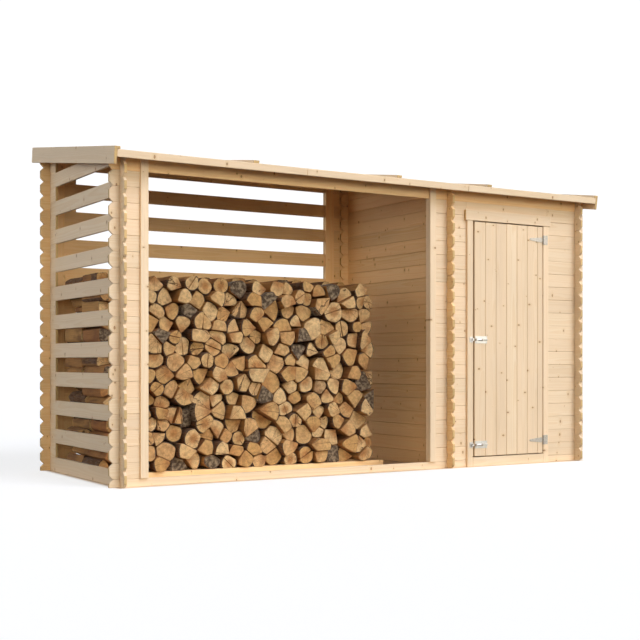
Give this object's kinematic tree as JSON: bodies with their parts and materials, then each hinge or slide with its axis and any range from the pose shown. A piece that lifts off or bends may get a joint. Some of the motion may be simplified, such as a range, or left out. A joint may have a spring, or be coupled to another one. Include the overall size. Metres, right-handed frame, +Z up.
{
  "type": "log store with tool shed",
  "caption": "Timber log store of interlocking boards under a mono-pitch roof, with a slatted open bay of stacked firewood and a closed tool shed with a hinged door.",
  "frame": {"origin": "on the ground, under the middle of the roof's outline", "axes": "+X along the front towards the shed end, +Y from the open front to the back, +Z up"},
  "size_m": [3.268, 1.3178, 1.8918],
  "materials": {
    "wall_boards": "planed, untreated spruce",
    "post_wood": "planed, untreated spruce",
    "door_wood": "planed, untreated spruce",
    "roof_wood": "planed, untreated spruce",
    "bearer_wood": "sawn",
    "split_logs": "split, with bark",
    "zinc_plated_steel": "dull zinc",
    "bright_steel": "bright zinc"
  },
  "bodies": {
    "store": {"left_wall_slats": "wall_boards", "left_wall_front_blocks": "wall_boards", "left_wall_back_blocks": "wall_boards", "bay_back_slats": "wall_boards", "bay_back_left_blocks": "wall_boards", "bay_back_right_blocks": "wall_boards", "partition_wall": "wall_boards", "right_wall": "wall_boards", "shed_back_wall": "wall_boards", "bay_sill": "wall_boards", "front_wall_left": "wall_boards", "front_wall_middle": "wall_boards", "front_wall_right": "wall_boards", "over_door_wall": "wall_boards", "front_top_board": "wall_boards", "bay_corner_strip_left": "post_wood", "bay_corner_strip_right": "post_wood", "bay_outer_strip": "post_wood", "bay_post_left": "post_wood", "bay_post_right": "post_wood", "door_post_left": "post_wood", "door_post_right": "post_wood", "door_threshold": "post_wood", "door_head_trim": "post_wood", "roof_boards": "roof_wood", "front_fascia": "roof_wood", "back_fascia": "roof_wood", "bargeboard_left": "roof_wood", "bargeboard_right": "roof_wood", "roof_battens": "roof_wood", "roof_edge_battens": "roof_wood", "firewood_bearers": "bearer_wood", "firewood_front_row": "split_logs", "firewood_back_row": "split_logs", "hinge_plates": "zinc_plated_steel", "bolt_keepers": "bright_steel"},
    "door": {"door_boards": "door_wood", "door_ledges": "door_wood", "door_braces": "door_wood", "hinge_straps": "zinc_plated_steel", "bolt_guides": "bright_steel"},
    "lower_bolt": {"lower_bolt": "bright_steel"},
    "upper_bolt": {"upper_bolt": "bright_steel"}
  },
  "joints": [
    {"name": "door_hinge", "type": "hinge", "parent": "store", "child": "door", "pos_m": [1.261, -0.56057, 0], "axis": [0, 0, 1], "range_deg": [0, 150]},
    {"name": "lower_bolt_slide", "type": "slide", "parent": "door", "child": "lower_bolt", "axis": [-1, 0, 0], "range_m": [0, 0.03]},
    {"name": "upper_bolt_slide", "type": "slide", "parent": "door", "child": "upper_bolt", "axis": [-1, 0, 0], "range_m": [0, 0.03]}
  ]
}
